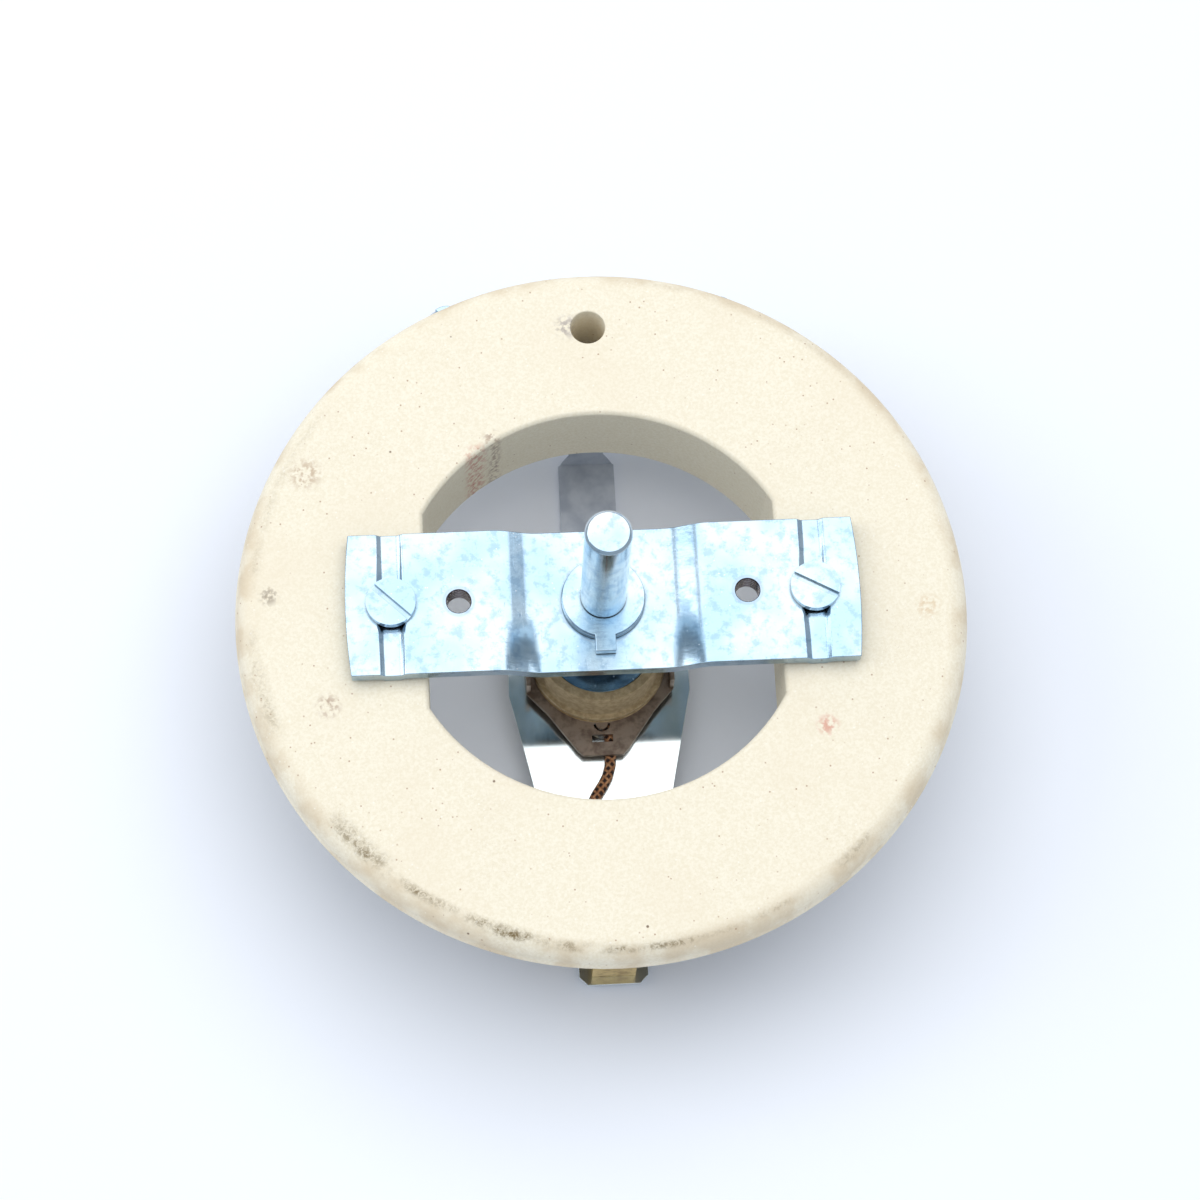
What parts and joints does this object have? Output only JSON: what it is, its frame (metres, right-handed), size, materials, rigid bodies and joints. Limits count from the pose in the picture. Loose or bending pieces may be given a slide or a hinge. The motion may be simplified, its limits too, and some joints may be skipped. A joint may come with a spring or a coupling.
{
  "type": "wirewound rheostat",
  "caption": "Ring rheostat: ceramic ring with a wound track below, strap bracket for panel mounting, and a shaft that turns a sprung wiper arm.",
  "frame": {"origin": "on the shaft axis, in the plane of the panel face of the mounting bracket, midway between its two tapped holes", "axes": "+Z runs out along the shaft to its free end, X runs along the bracket, +Y points from the shaft axis to the terminals"},
  "size_m": [0.128, 0.1298, 0.0732],
  "materials": {
    "cream_ceramic": "matte, speckled, unglazed",
    "core_ceramic": "matte, unglazed",
    "hub_ceramic": "matte, unglazed",
    "cement": "matte, grey white cement",
    "resistance_wire": "oxidised wire with a bare polished track",
    "tinned_steel": "dull tinned",
    "zinc_steel": "bright blue zinc plate",
    "shaft_steel": "bright turned and plated",
    "spring_steel": "bright rolled strip",
    "nickel_silver": "brown tarnished",
    "brass": "plain",
    "mica": "thin laminated sheet",
    "fibre": "vulcanised fibre",
    "graphite": "satin graphite",
    "braid": "braided copper, tarnished"
  },
  "bodies": {
    "stator": {"ceramic_ring": "cream_ceramic", "winding_core": "core_ceramic", "resistance_winding": "resistance_wire", "winding_cement": "cement", "end_terminal_left": "tinned_steel", "end_terminal_right": "tinned_steel", "terminal_screws": "zinc_steel", "terminal_washers": "zinc_steel", "terminal_nuts": "zinc_steel", "mounting_bracket": "zinc_steel", "bracket_screws": "zinc_steel", "bracket_washers": "fibre", "bracket_nuts": "zinc_steel", "bearing_bush": "zinc_steel", "centre_terminal": "tinned_steel", "centre_rivet": "tinned_steel"},
    "rotor": {"retaining_washer": "zinc_steel", "shaft": "shaft_steel", "drive_disc": "zinc_steel", "drive_pins": "zinc_steel", "contact_hub": "hub_ceramic", "mica_disc": "mica", "collector_plate": "nickel_silver", "arm_spacer": "brass", "wiper_arm": "spring_steel", "collector_bush": "brass", "insulating_washer": "mica", "clamp_washer": "zinc_steel", "clamp_nut": "zinc_steel", "brush_holder": "brass", "holder_rivet": "brass", "brush_spring": "spring_steel", "braided_lead": "braid"},
    "brush": {"contact_brush": "graphite"}
  },
  "joints": [
    {"name": "shaft_turn", "type": "hinge", "parent": "stator", "child": "rotor", "pos_m": [0, 0, 0], "axis": [0, 0, 1], "range_deg": [-158.5, 158.5]},
    {"name": "brush_travel", "type": "slide", "parent": "rotor", "child": "brush", "axis": [0, 0, 1], "range_m": [-0.0012, 0], "stiffness_N_per_m": 300, "springref_m": 0.01, "deforming": ["brush_spring"]}
  ]
}
